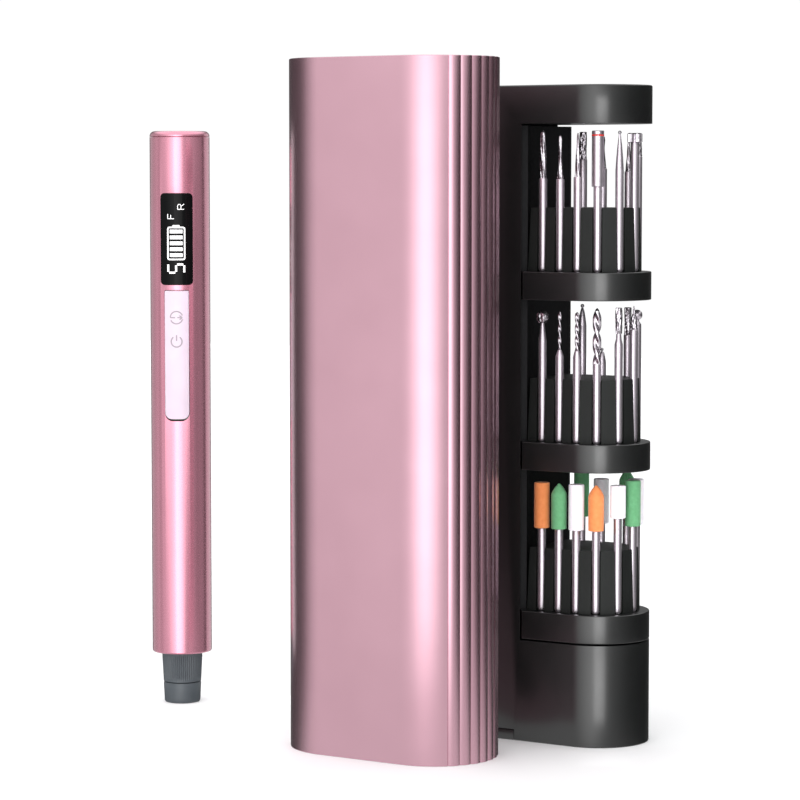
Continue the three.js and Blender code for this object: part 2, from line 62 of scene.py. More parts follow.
def placed(x, y, turn=0.0):
    """A function from local millimetres to the frame's metres."""
    c = math.cos(math.radians(turn))
    s = math.sin(math.radians(turn))
    return lambda p: ((x + p[0] * c - p[1] * s) * MM, (y + p[0] * s + p[1] * c) * MM, p[2] * MM)


END_OFFSET = 13.48  # from the case's middle to the centre of each round end
RACK_RADIUS = 14.62
SLEEVE_RADIUS = 17.56
SLEEVE_INSIDE = 15.16
PEN_TURN = 28.75
PEN_RADIUS = 9.0

sleeve_low, sleeve_high = box_mm("cover_sleeve")
sleeve_x = sleeve_low[0] + END_OFFSET + SLEEVE_RADIUS
sleeve_y = (sleeve_low[1] + sleeve_high[1]) / 2
rack_x, rack_y, _ = middle_mm("rack_frame")
pen_x, pen_y, _ = middle_mm("pen_end_cap")
SLEEVE = placed(sleeve_x, sleeve_y)
RACK = placed(rack_x, rack_y)
PEN = placed(pen_x, pen_y, PEN_TURN)


# ---- Mesh helpers ----

def mesh_piece(name, points, faces, place, sharp=32.0):
    mesh = bpy.data.meshes.new(name)
    mesh.from_pydata([place(p) for p in points], [], faces)
    mesh.validate()
    piece = bpy.data.objects.new(name, mesh)
    bpy.context.scene.collection.objects.link(piece)
    smoothed(piece, sharp)
    return piece


def smoothed(piece, sharp=32.0):
    piece.data.shade_smooth()
    piece.data.set_sharp_from_angle(angle=math.radians(sharp))


def loft(name, rings, place, wrap=False, sharp=32.0):
    """Joins rings of points that all have the same count. wrap joins the last ring to the first."""
    count = len(rings[0])
    points = [p for ring in rings for p in ring]
    faces = []
    for r in range(len(rings) if wrap else len(rings) - 1):
        a = r * count
        b = (r + 1) % len(rings) * count
        faces += [(a + i, a + (i + 1) % count, b + (i + 1) % count, b + i) for i in range(count)]
    if not wrap:
        faces.append(tuple(reversed(range(count))))
        faces.append(tuple(range(len(points) - count, len(points))))
    return mesh_piece(name, points, faces, place, sharp)


def turned(name, profile, place, sides=64, radius_at=None, sharp=32.0):
    """A turned piece from (radius, height) pairs. radius_at(radius, angle, height) may shape each ring."""
    points = []
    rows = []
    for radius, height in profile:
        if radius == 0:
            rows.append([len(points)])
            points.append((0, 0, height))
            continue
        row = []
        for i in range(sides):
            angle = 2 * math.pi * i / sides
            r = radius_at(radius, angle, height) if radius_at else radius
            row.append(len(points))
            points.append((r * math.cos(angle), r * math.sin(angle), height))
        rows.append(row)
    faces = []
    for low, high in zip(rows, rows[1:]):
        for i in range(sides):
            j = (i + 1) % sides
            if len(low) == 1:
                faces.append((low[0], high[j], high[i]))
            elif len(high) == 1:
                faces.append((low[i], low[j], high[0]))
            else:
                faces.append((low[i], low[j], high[j], high[i]))
    piece = mesh_piece(name, points, faces, place, sharp)
    if profile[0] == profile[-1]:  # a ring, closed on itself
        edited(piece, lambda bm: bmesh.ops.remove_doubles(bm, verts=bm.verts, dist=WELD_DISTANCE))
    return piece


WELD_DISTANCE = 1e-7  # metres


def edited(piece, edit):
    bm = bmesh.new()
    bm.from_mesh(piece.data)
    edit(bm)
    bm.to_mesh(piece.data)
    bm.free()


def arc(x, y, radius, start, end, steps):
    angles = [math.radians(start + (end - start) * i / steps) for i in range(steps + 1)]
    return [(x + radius * math.cos(a), y + radius * math.sin(a)) for a in angles]


def inset(outline, distance):
    """Moves each point of an anticlockwise outline inwards along the bisector of its sides."""
    moved = []
    for i, here in enumerate(outline):
        before = Vector(outline[i - 1])
        after = Vector(outline[(i + 1) % len(outline)])
        here = Vector(here)
        a = (here - before).normalized()
        b = (after - here).normalized()
        normal = Vector((-a.y - b.y, a.x + b.x)).normalized()
        stretch = max(0.5, normal.dot(Vector((-a.y, a.x))))
        moved.append(tuple(here + normal * (distance / stretch)))
    return moved


def quarter_turn(steps):
    return [math.pi / 2 * i / steps for i in range(steps + 1)]


def rounded_levels(low, high, bottom, top, steps=3):
    """(inset, height) pairs that round the two edges of a prism."""
    turns = quarter_turn(steps)
    return ([(bottom * (1 - math.sin(a)), low + bottom * (1 - math.cos(a))) for a in turns]
            + [(top * (1 - math.cos(a)), high - top * (1 - math.sin(a))) for a in turns])


def prism(name, outline, low, high, place, bottom=0.3, top=0.3, sharp=32.0):
    if bottom == 0 and top == 0:
        levels = [(0, low), (0, high)]
    else:
        levels = rounded_levels(low, high, max(bottom, 0.01), max(top, 0.01))
    rings = [[(x, y, z) for x, y in (inset(outline, d) if d else outline)] for d, z in levels]
    return loft(name, rings, place, sharp=sharp)


def applied(piece):
    depsgraph = bpy.context.evaluated_depsgraph_get()
    mesh = bpy.data.meshes.new_from_object(piece.evaluated_get(depsgraph))
    piece.modifiers.clear()
    piece.data = mesh


def carve(piece, cutters, operation="DIFFERENCE", sharp=32.0):
    for cutter in cutters:
        step = piece.modifiers.new("carve", "BOOLEAN")
        step.operation = operation
        step.solver = "EXACT"
        step.object = cutter
    applied(piece)
    for cutter in cutters:
        bpy.data.objects.remove(cutter)
    smoothed(piece, sharp)
    return piece


def bevelled(piece, width, segments=2, angle=50.0, sharp=32.0):
    step = piece.modifiers.new("bevel", "BEVEL")
    step.width = width * MM
    step.segments = segments
    step.limit_method = "ANGLE"
    step.angle_limit = math.radians(angle)
    applied(piece)
    smoothed(piece, sharp)
    return piece


def show(piece, body, slot, material, *nodes):
    """Gives a piece its material, its body and the CAD nodes that it stands for. slot is not used."""
    piece.data.materials.clear()
    piece.data.materials.append(material)
    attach(piece, body)
    if nodes:
        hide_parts(*nodes)


# ---- Materials ----

def linear(colour):
    """sRGB values of 0 to 255 as the linear colour that a shader takes."""
    shares = [v / 255 for v in colour]
    return [v / 12.92 if v <= 0.04045 else ((v + 0.055) / 1.055) ** 2.4 for v in shares] + [1.0]


def fill(tree, node, inputs):
    """Sets each named input of a node to a value, or links it to another node's output."""
    for name, value in inputs.items():
        socket = node.inputs[name.replace("_", " ")]
        if isinstance(value, bpy.types.NodeSocket):
            tree.links.new(value, socket)
        else:
            socket.default_value = value


def add_node(tree, kind, **inputs):
    node = tree.nodes.new("ShaderNode" + kind)
    fill(tree, node, inputs)
    return node


NOISE_LOW, NOISE_HIGH = 0.3, 0.7  # the part of a noise's range that is used


def textured(name, colour, roughness, metallic=0.0, hues=None, gloss=None, bumps=(), **sockets):
    """A material from sRGB colours. hues, gloss and each bump start with the size and detail of a noise.

    What follows is the low and the high colour or roughness, or the depth and strength of the bump, and
    last, where the noise isn't the same along all axes, its stretch. Sizes and depths are in millimetres.
    """
    material = bpy.data.materials.new(name)
    material.use_nodes = True
    tree = material.node_tree
    shader = tree.nodes["Principled BSDF"]
    fill(tree, shader, dict(sockets, Base_Color=linear(colour), Roughness=roughness, Metallic=metallic))
    coordinates = add_node(tree, "TexCoord")

    def noise(size, detail, stretch=(1.0, 1.0, 1.0)):
        """Noise whose features are about this size, shorter along an axis whose stretch is large."""
        mapping = add_node(tree, "Mapping", Vector=coordinates.outputs["Object"], Scale=stretch)
        node = add_node(tree, "TexNoise", Vector=mapping.outputs["Vector"], Scale=1 / (size * MM),
                        Detail=detail)
        return node.outputs["Fac"]

    if hues:
        size, detail, *colours = hues
        ramp = add_node(tree, "ValToRGB", Fac=noise(size, detail))
        for end, position, hue in zip(ramp.color_ramp.elements, (NOISE_LOW, NOISE_HIGH), colours):
            end.position = position
            end.color = linear(hue)
        fill(tree, shader, {"Base Color": ramp.outputs["Color"]})
    if gloss:
        size, detail, low, high, *stretch = gloss
        share = add_node(tree, "MapRange", Value=noise(size, detail, *stretch),
                         From_Min=NOISE_LOW, From_Max=NOISE_HIGH, To_Min=low, To_Max=high)
        fill(tree, shader, {"Roughness": share.outputs["Result"]})
    below = {}
    for size, detail, depth, strength, *stretch in bumps:
        node = add_node(tree, "Bump", Height=noise(size, detail, *stretch), Strength=strength,
                        Distance=depth * MM, **below)
        below = {"Normal": node.outputs["Normal"]}
    fill(tree, shader, below)
    return material


def shifted(colour, by):
    return [v + d for v, d in zip(colour, by)]


def anodised(name, colour, roughness):
    """Blasted aluminium, dyed pink: a soft metal sheen with a fine grain."""
    return textured(name, colour, roughness, 0.95,
                    hues=(14, 2, shifted(colour, (-2, -2, -2)), shifted(colour, (2, 2, 2))),
                    gloss=(0.6, 3, roughness - 0.01, roughness + 0.02), bumps=[(0.12, 2, 0.001, 0.12)],
                    Coat_Weight=0.9, Coat_IOR=2.1, Coat_Roughness=0.24)


def silicone(name, colour, vary):
    """Abrasive silicone: matt, grainy, a little light goes into it."""
    dark = shifted(colour, [-v for v in vary])
    return textured(name, colour, 0.7, hues=(1.1, 4, dark, shifted(colour, vary)),
                    gloss=(0.6, 3, 0.6, 0.8), bumps=[(0.16, 3, 0.008, 0.35), (1.6, 2, 0.03, 0.3)],
                    Subsurface_Weight=0.15, Subsurface_Radius=(0.0012, 0.0009, 0.0008),
                    Specular_IOR_Level=0.3, Sheen_Weight=0.15)


SLEEVE_PINK = anodised("pink anodised sleeve", (203, 149, 166), 0.24)
PEN_PINK = anodised("pink anodised handpiece", (198, 116, 140), 0.26)
ORANGE = silicone("orange silicone", (232, 140, 82), (4, 6, 6))
GREEN = silicone("green silicone", (104, 170, 120), (5, 6, 6))
WHITE = silicone("white silicone", (246, 240, 247), (3, 4, 3))

# Moulded ABS with a fine spark-eroded texture.
BLACK = textured("black ABS", (22, 23, 23), 0.28, hues=(9, 3, (21, 22, 22), (24, 25, 25)),
                 gloss=(1.2, 3, 0.28, 0.33), bumps=[(0.16, 3, 0.004, 0.3)],
                 Specular_IOR_Level=0.45, Coat_Weight=0.5, Coat_Roughness=0.22)

# The same ABS with a duller mould texture, inside the rack.
INNER_BLACK = textured("black ABS, textured", (22, 22, 24), 0.65, hues=(5, 3, (21, 21, 23), (24, 24, 26)),
                       gloss=(1.0, 3, 0.6, 0.7), bumps=[(0.25, 3, 0.02, 0.5)], Specular_IOR_Level=0.2)

# The fluted cores that the bits stand in.
CORE = textured("dark grey ABS", (25, 27, 26), 0.55, hues=(7, 3, (24, 26, 25), (27, 29, 28)),
                gloss=(1.0, 3, 0.5, 0.6), bumps=[(0.2, 3, 0.01, 0.4)], Specular_IOR_Level=0.25)

# The shanks: bright, with fine lines round them.
STEEL = textured("ground steel", (206, 198, 206), 0.28, 0.9, gloss=(0.5, 3, 0.26, 0.36, (1, 1, 12)),
                 bumps=[(0.08, 2, 0.001, 0.2, (1, 1, 6))])

# The heads of the bits: slightly darker, with ground cutting faces.
CARBIDE = textured("tungsten carbide", (190, 184, 190), 0.2, 1.0,
                   hues=(0.6, 3, (160, 155, 162), (214, 208, 214)), gloss=(0.4, 3, 0.14, 0.3),
                   bumps=[(0.15, 2, 0.006, 0.5)])

# Diamond grains in nickel.
GRIT = textured("diamond grit", (150, 146, 152), 0.4, 0.7, hues=(0.14, 2, (70, 68, 74), (226, 222, 228)),
                bumps=[(0.12, 3, 0.05, 0.9)])

# The painted ring that tells how coarse a bit is.
RED = textured("red grit band", (214, 52, 44), 0.4, gloss=(0.4, 2, 0.34, 0.5))

# The handpiece's nose and collar.
SLATE = textured("slate grey plastic", (66, 72, 77), 0.45, hues=(4, 3, (63, 69, 74), (70, 76, 81)),
                 gloss=(0.8, 3, 0.4, 0.5), bumps=[(0.12, 2, 0.005, 0.35)], Specular_IOR_Level=0.5)

# The display's window and what is lit behind it.
WINDOW = textured("display window", (5, 5, 6), 0.12, gloss=(3, 3, 0.1, 0.16), Specular_IOR_Level=0.1)
SEGMENTS = textured("display segments", (240, 240, 240), 0.4, bumps=[(0.3, 1, 0.001, 0.2)],
                    Emission_Color=(1, 1, 1, 1), Emission_Strength=0.25)

# The key and the signs printed on it.
WHITE_KEY = textured("pearl white key", (208, 190, 203), 0.38, hues=(5, 2, (206, 188, 201), (211, 193, 206)),
                     gloss=(0.8, 2, 0.34, 0.42), bumps=[(0.2, 2, 0.002, 0.3)], Subsurface_Weight=0.05)
ICONS = textured("icon print", (150, 141, 148), 0.5, bumps=[(0.1, 2, 0.001, 0.3)])

# What is inside the handpiece, and the hinge's pins.
TURNED_STEEL = textured("turned steel", (176, 176, 180), 0.3, 1.0, gloss=(0.8, 3, 0.24, 0.4, (1, 1, 10)),
                        bumps=[(0.1, 2, 0.003, 0.4, (1, 1, 8))])
BOARD = textured("solder mask", (24, 98, 58), 0.35, hues=(1.2, 3, (18, 84, 48), (32, 112, 66)),
                 bumps=[(0.5, 2, 0.02, 0.4)], Coat_Weight=0.3)
WRAP = textured("battery wrap", (44, 92, 168), 0.32, gloss=(2.5, 3, 0.26, 0.4),
                bumps=[(3.0, 2, 0.03, 0.4)], Coat_Weight=0.4)


# ---- Camera ----

EYE_FROM_SLEEVE = (443.9, -700.1)
EYE_HEIGHT = 160.3
EYE_TURN = 32.253  # degrees about the vertical
EYE_DIP = 4.306  # degrees below level
FOCAL_LENGTH = 135.13


def make_camera():
    """The eye is level with the upper part of the case and looks down a little."""
    data = bpy.data.cameras.new("camera")
    data.lens = FOCAL_LENGTH
    data.sensor_width = 36.0
    data.clip_start = 0.05
    camera = bpy.data.objects.new("camera", data)
    east, north = EYE_FROM_SLEEVE
    camera.location = ((sleeve_x + east) * MM, (sleeve_y + north) * MM, EYE_HEIGHT * MM)
    camera.rotation_euler = (math.radians(90 - EYE_DIP), 0.0, math.radians(EYE_TURN))
    bpy.context.scene.collection.objects.link(camera)
    bpy.context.scene.camera = camera


make_camera()


# ---- Sleeve ----

REED_COUNT = 8
REED_STEP = 11.6
REED_DEPTH = 0.48
REED_REACH = REED_COUNT / 2 * REED_STEP
REED_MARGIN = 0.8  # degrees from the outermost reed to the next point of the outline
REED_POINTS = 10
FLAT_POINTS = 20
END_POINTS = 48


def case_rays():
    """(centre x, angle) of each point round the case, close together where the reeds are."""
    edge = REED_REACH + REED_MARGIN
    plain = [(90 - edge) * i / FLAT_POINTS for i in range(FLAT_POINTS + 1)]
    right = [a - 90 for a in plain]
    right += [-REED_REACH + REED_STEP * i / REED_POINTS for i in range(REED_COUNT * REED_POINTS + 1)]
    right += [edge + a for a in plain]
    left = [90 + 180 * i / END_POINTS for i in range(END_POINTS + 1)]
    return [(END_OFFSET, a) for a in right] + [(-END_OFFSET, a) for a in left]


def reeded_radius(angle):
    if abs(angle) > REED_REACH:
        return SLEEVE_RADIUS
    share = (angle + REED_REACH) / REED_STEP % 1.0
    return SLEEVE_RADIUS - REED_DEPTH * (2 * share - 1) ** 2


def ray_ring(radius_at, height):
    ring = []
    for centre, angle in case_rays():
        r = radius_at(angle)
        a = math.radians(angle)
        ring.append((centre + r * math.cos(a), r * math.sin(a), height))
    return ring


def build_sleeve():
    top = sleeve_high[2]
    edge = 0.25
    inner_edge = 0.2
    outer = lambda d: lambda angle: (reeded_radius(angle) if abs(angle) < 90 else SLEEVE_RADIUS) - d
    inner = lambda d: lambda angle: SLEEVE_INSIDE + d
    rings = [
        ray_ring(outer(edge), 0),
        ray_ring(outer(edge * 0.3), edge * 0.3),
        ray_ring(outer(0), edge),
        ray_ring(outer(0), top / 2),
        ray_ring(outer(0), top - edge),
        ray_ring(outer(edge * 0.3), top - edge * 0.3),
        ray_ring(outer(edge), top),
        ray_ring(inner(inner_edge), top),
        ray_ring(inner(0), top - inner_edge),
        ray_ring(inner(0), inner_edge),
        ray_ring(inner(inner_edge), 0),
    ]
    piece = loft("sleeve", rings, SLEEVE, wrap=True, sharp=24)
    show(piece, "cover", "pink_anodised", SLEEVE_PINK, "cover_sleeve")


def case_outline(radius):
    return (arc(END_OFFSET, 0, radius, -90, 90, END_POINTS)
            + arc(-END_OFFSET, 0, radius, 90, 270, END_POINTS))


def build_sleeve_cap():
    low, high = box_mm("cover_end_cap")
    sunk = 0.2
    outline = case_outline(SLEEVE_INSIDE - 0.1)
    piece = prism("sleeve_end_cap", outline, low[2], high[2] - sunk, SLEEVE, 0.3, 0.5)
    show(piece, "cover", "black_plastic", BLACK, "cover_end_cap")


build_sleeve()
build_sleeve_cap()


# ---- Rack ----

rack_top = box_mm("rack_frame")[1][2]
spine_low, spine_high = box_mm("rack_spine")
END_GAP = 0.5
BASE_TOP = spine_low[2] - END_GAP
CAP_BOTTOM = spine_high[2] + END_GAP
SEAM_RADIUS = 22.4
SPINE_OUTER = 22.0
SPINE_INNER = 20.2
SPINE_FROM = 143.7
SPINE_TO = 212.5
HINGE_RADIUS = 2.6
HINGE_CLEAR = 1.58  # from the column's hollow face to the hinge's axis
HINGE_X = END_OFFSET - SEAM_RADIUS - HINGE_CLEAR
HINGE_Y = RACK_RADIUS - HINGE_RADIUS
POCKET_RADIUS = 3.0
WEB_REACH = 1.2  # how far the pocket goes in front of the hinge's axis
WEB_ANGLE = 4.0
WEB_THICKNESS = 1.8
BAY_TO = 222.0
CRADLE_X = -19.4
CRADLE_RADIUS = 9.3
CRADLE_FLOOR = 6.0
CRADLE_TOP = 180.1
PLATE_EDGE = -5.5
PLATE_THICKNESS = 3.0
PLATE_GAP = 0.15
PLATE_WALL = 2.6  # the base's wall round the plate
FAR = 60.0


def bay_outline():
    start = 180 - math.degrees(math.asin((HINGE_Y - WEB_REACH) / SEAM_RADIUS))
    wall = arc(END_OFFSET, 0, SEAM_RADIUS, start, BAY_TO, 40)
    return ([(FAR, -FAR), (FAR, FAR), (HINGE_X - POCKET_RADIUS, FAR)]
            + arc(HINGE_X, HINGE_Y, POCKET_RADIUS, 180, 270, 10)
            + [(HINGE_X, HINGE_Y - WEB_REACH)]
            + wall
            + [(wall[-1][0], -FAR)])


def cradle_outline():
    return ([(-FAR, -CRADLE_RADIUS)]
            + arc(CRADLE_X, 0, CRADLE_RADIUS, -90, 90, 40)
            + [(-FAR, CRADLE_RADIUS)])


def slab(x0, x1, y0, y1):
    """The corners of a rectangle, anticlockwise."""
    return [(x0, y0), (x1, y0), (x1, y1), (x0, y1)]


def build_rack_frame():
    whole = prism("rack_shell", case_outline(RACK_RADIUS), 0, rack_top, RACK, 0.3, 0.45)
    left = slab(-FAR, PLATE_EDGE + PLATE_GAP, -FAR, FAR)
    room = PLATE_THICKNESS + PLATE_GAP
    cutters = [
        prism("bay", bay_outline(), BASE_TOP, CAP_BOTTOM, RACK, 0, 0),
        prism("cradle", cradle_outline(), CRADLE_FLOOR, CRADLE_TOP, RACK, 0, 0),
        prism("plate_left", left, -1, room, RACK, 0, 0),
        prism("plate_inset", case_outline(RACK_RADIUS - PLATE_WALL), -1, room, RACK, 0, 0),
    ]
    piece = bevelled(carve(whole, cutters), 0.16, 2, 50)
    show(piece, "rack", "black_plastic", BLACK, "rack_frame")


def build_base_plate():
    edge = RACK_RADIUS - 0.05
    left = [p for p in case_outline(edge) if p[0] < PLATE_EDGE]
    left = [(PLATE_EDGE, edge)] + left + [(PLATE_EDGE, -edge)]
    piece = prism("rack_base_plate_outer", left, 0, PLATE_THICKNESS, RACK, 0.15, 0.15)
    inside = case_outline(RACK_RADIUS - PLATE_WALL - PLATE_GAP)
    middle = prism("plate_middle", inside, 0, PLATE_THICKNESS, RACK, 0, 0)
    piece = carve(piece, [middle], "UNION")
    show(piece, "rack", "black_plastic", BLACK, "rack_base_plate")


def build_spine():
    low, high = spine_low[2], spine_high[2]
    wall = (arc(END_OFFSET, 0, SPINE_OUTER, SPINE_FROM, SPINE_TO, 40)
            + arc(END_OFFSET, 0, SPINE_INNER, SPINE_TO, SPINE_FROM, 40))
    edge = math.radians(SPINE_FROM)
    r = (SPINE_OUTER + SPINE_INNER) / 2
    start = Vector((END_OFFSET + r * math.cos(edge), r * math.sin(edge)))
    end = Vector((HINGE_X, HINGE_Y))
    along = (end - start).normalized()
    across = Vector((along.y, -along.x)) * (WEB_THICKNESS / 2)
    start = start - along * 0.5  # into the wall, so that the two join
    web = [tuple(start + across), tuple(end + across), tuple(end - across), tuple(start - across)]
    piece = prism("rack_spine_wall", wall, low, high, RACK, 0, 0)
    piece = carve(piece, [
        prism("web", web, low, high, RACK, 0, 0),
        prism("knuckle", arc(HINGE_X, HINGE_Y, HINGE_RADIUS, 0, 355, 71), low, high, RACK, 0, 0),
    ], "UNION")
    show(piece, "bit_rack", "black_plastic", INNER_BLACK, "rack_spine")


def tray_outline():
    """The rack's outline, with the swing's arc on its left and room there for the spine."""
    front = math.degrees(math.asin(RACK_RADIUS / SPINE_OUTER))
    return (arc(END_OFFSET, 0, RACK_RADIUS, -90, 90, 48)
            + arc(END_OFFSET, 0, SPINE_OUTER, 180 - front, SPINE_FROM - WEB_ANGLE, 10)
            + arc(END_OFFSET, 0, SPINE_INNER - 0.3, SPINE_FROM - WEB_ANGLE, SPINE_TO + 0.5, 24)
            + arc(END_OFFSET, 0, SPINE_OUTER, SPINE_TO + 0.5, 180 + front, 8))


def build_trays():
    for tray in (1, 2, 3):
        low, high = box_mm(f"bit_tray_{tray}")
        piece = prism(f"tray_{tray}", tray_outline(), low[2], high[2], RACK, 0.25, 0.25)
        show(piece, "bit_rack", "black_plastic", BLACK, f"bit_tray_{tray}")


build_rack_frame()
build_base_plate()
build_spine()
build_trays()


# ---- Fluted cores ----

FLUTE_OFFSET = 10.8
FLUTE_RADIUS = 1.35
CORE_LEFT = -3.1
CORE_FACE = 11.8
CORE_CORNER = 3.4
CORE_TAPER = 0.55
FLUTE_STEPS = 12


def bit_nodes(tray):
    return sorted(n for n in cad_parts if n.startswith(f"bit_{tray}_"))


def flutes():
    """(foot on the mid-line, direction in degrees) of each flute, from the front left round."""
    places = []
    for node in bit_nodes(1):
        x, y, _ = middle_mm(node)
        x -= rack_x
        y -= rack_y
        if x > END_OFFSET:
            places.append(((END_OFFSET, 0.0), math.degrees(math.atan2(y, x - END_OFFSET))))
        else:
            places.append(((x, 0.0), math.copysign(90.0, y)))
    return places


def core_outline(face, left):
    """face is how far the flat faces between the flutes stand from the mid-line."""
    outline = [(left, -face + 0.3), (left + 0.3, -face)]
    for (x, y), direction in flutes():
        a = math.radians(direction)
        out = Vector((math.cos(a), math.sin(a)))
        side = Vector((-out.y, out.x))
        centre = Vector((x, y)) + out * FLUTE_OFFSET
        lip = Vector((x, y)) + out * face
        outline.append(tuple(lip - side * FLUTE_RADIUS))
        for step in range(FLUTE_STEPS + 1):
            turn = math.pi * step / FLUTE_STEPS
            across = side * (FLUTE_RADIUS * math.cos(turn))
            outline.append(tuple(centre - across - out * (FLUTE_RADIUS * math.sin(turn))))
        outline.append(tuple(lip + side * FLUTE_RADIUS))
    return outline + arc(left + CORE_CORNER, face - CORE_CORNER, CORE_CORNER, 90, 180, 10)


def build_cores():
    wide = core_outline(CORE_FACE, CORE_LEFT)
    narrow = core_outline(CORE_FACE - CORE_TAPER, CORE_LEFT + CORE_TAPER)
    for tray in (1, 2, 3):
        low, high = box_mm(f"bit_core_{tray}")
        rings = [[(x, y, low[2]) for x, y in wide], [(x, y, high[2]) for x, y in narrow]]
        piece = bevelled(loft(f"core_{tray}", rings, RACK, sharp=20), 0.12, 2, 60, 20)
        show(piece, "bit_rack", "core_plastic", CORE, f"bit_core_{tray}")


build_cores()


# ---- Bits ----

SHANK = 1.175


def shank_profile(top):
    foot = [(0, 0), (0.55, 0.03), (0.85, 0.14), (1.05, 0.4), (SHANK, 0.8)]
    return foot + [(SHANK, top - 0.25), (SHANK - 0.12, top), (0, top)]


def smooth_curve(points, steps=4):
    """A Catmull-Rom curve through (radius, height) points."""
    padded = [points[0]] + list(points) + [points[-1]]
    out = []
    for i in range(len(points) - 1):
        p0, p1, p2, p3 = padded[i:i + 4]
        for k in range(steps):
            t = k / steps
            out.append(tuple(
                0.5 * (2 * b + (c - a) * t + (2 * a - 5 * b + 4 * c - d) * t * t
                       + (3 * b - a - 3 * c + d) * t ** 3)
                for a, b, c, d in zip(p0, p1, p2, p3)))
    return out + [points[-1]]


TOOTH_RISE = 0.86  # the share of a tooth that rises; the rest falls
CROSS_WIDTH = 0.16


def fluted(count, depth, lead, cross=0):
    """Spiral cutting teeth: each is a slow rise and a quick fall. cross adds a second, shallower set."""
    def radius_at(radius, angle, height):
        phase = (count * angle / (2 * math.pi) + height / lead) % 1.0
        tooth = phase ** 1.5 if phase < TOOTH_RISE else (1 - phase) / (1 - TOOTH_RISE) * 0.8
        r = radius * (1 - depth * (1 - tooth))
        if cross:
            other = (cross * angle / (2 * math.pi) - height / lead * 1.4) % 1.0
            r -= radius * depth * 0.7 * max(0.0, 1 - abs(other - 0.5) / CROSS_WIDTH)
        return r
    return radius_at


def drill_flutes(depth, lead):
    """Two deep round flutes and a narrow land beside each, as on a twist drill."""
    groove_share = 0.68

    def radius_at(radius, angle, height):
        phase = (2 * angle / (2 * math.pi) + height / lead) % 1.0
        groove = max(0.0, math.sin(math.pi * min(1.0, phase / groove_share)))
        return radius * (1 - depth * groove ** 0.8)
    return radius_at


def toothed(count, depth):
    def radius_at(radius, angle, height):
        return radius * (1 - depth * (0.5 + 0.5 * math.cos(count * angle)))
    return radius_at


# (share of the radius, share of the length) along the curved heads.
HEAD_CURVES = {
    "barrel": ((0.95, 0), (1, 0.12), (1.04, 0.45), (0.84, 0.8), (0.6, 0.94), (0.2, 1)),
    "flame": ((1, 0), (0.62, 0.35), (0.5, 0.65), (0.6, 0.86), (0.45, 0.97), (0.1, 1)),
    "cone": ((1, 0), (0.7, 0.4), (0.45, 0.75), (0.3, 0.95), (0.08, 1)),
}


def head_profile(kind, radius, length):
    if kind in HEAD_CURVES:
        return smooth_curve([(radius * r, length * z) for r, z in HEAD_CURVES[kind]], 8)
    if kind == "pointed":
        return [(radius * 0.9, 0), (radius, length * 0.1)] + [
            (radius * (1 - 0.86 * t / 12), length * (0.12 + 0.88 * t / 12)) for t in range(13)]
    if kind == "rod":
        straight = [(radius, length * t / 40) for t in range(1, 40)]
        return [(radius - 0.1, 0), (radius, 0.1)] + straight + [(radius - 0.1, length)]
    point = radius * 0.7
    return [(radius, length * t / 70) for t in range(66)] + [
        (radius * (1 - t / 5), length - point + point * t / 5) for t in range(5)]


def ball_profile(radius, centre):
    angles = [math.radians(-66 + 150 * i / 22) for i in range(23)]
    return [(radius * math.cos(a), centre + radius * math.sin(a)) for a in angles]


# Kind, head radius, head length and style of each bit in the two steel tiers, in the order of the flutes.
STEEL_HEADS = {
    1: [("barrel", 1.02, 13.2, fluted(6, 0.22, 7.5)), ("flame", 0.98, 12.0, fluted(5, 0.2, 7.0)),
        ("cone", 0.98, 12.0, fluted(5, 0.24, 8.0)), ("mandrel", 1.7, 15.5, None),
        ("ball_taper", 0.5, 10.6, None),
        ("disc", 2.1, 2.7, toothed(22, 0.14)), ("barrel", 1.15, 5.0, fluted(8, 0.2, 4.0, 8)),
        ("cone", 0.98, 9.0, fluted(5, 0.2, 5.0)), ("flame", 1.05, 9.0, fluted(6, 0.2, 5.0)),
        ("rod", 1.12, 7.5, fluted(8, 0.16, 9.0, 8))],
    2: [("ball", 1.85, 8.6, fluted(8, 0.2, 9.0)), ("thin_drill", 0.5, 11.9, drill_flutes(0.55, 3.3)),
        ("thin_drill", 0.64, 11.9, drill_flutes(0.55, 3.3)), ("drill", 1.2, 15.7, drill_flutes(0.62, 6.0)),
        ("necked", 1.08, 7.3, fluted(6, 0.2, 8.0, 4)), ("pointed", 1.12, 6.4, fluted(7, 0.22, 6.0, 7)),
        ("ball", 1.48, 4.4, None), ("rod", 1.08, 7.6, fluted(8, 0.18, 7.0)),
        ("ball_taper", 0.45, 4.0, None), ("ball_taper", 0.55, 6.0, None)],
}
SHANK_SIDES = 32
HEAD_SIDES = 56
HEAD_SHARP = 38  # degrees between faces from which an edge of a head is sharp
BAND_HEIGHT = 0.4


def stood(node):
    """A function that places points measured from a bit's foot, and the bit's whole length."""
    low, high = box_mm(node)
    x, y, _ = middle_mm(node)
    beside_axis = placed(x, y)
    return lambda p: beside_axis((p[0], p[1], p[2] + low[2])), high[2] - low[2]


def capped(foot, profile, top):
    """The profile, closed on the axis at both ends."""
    return [(0, foot)] + profile + [(0, top)]


def lifted(profile, by):
    return [(r, z + by) for r, z in profile]


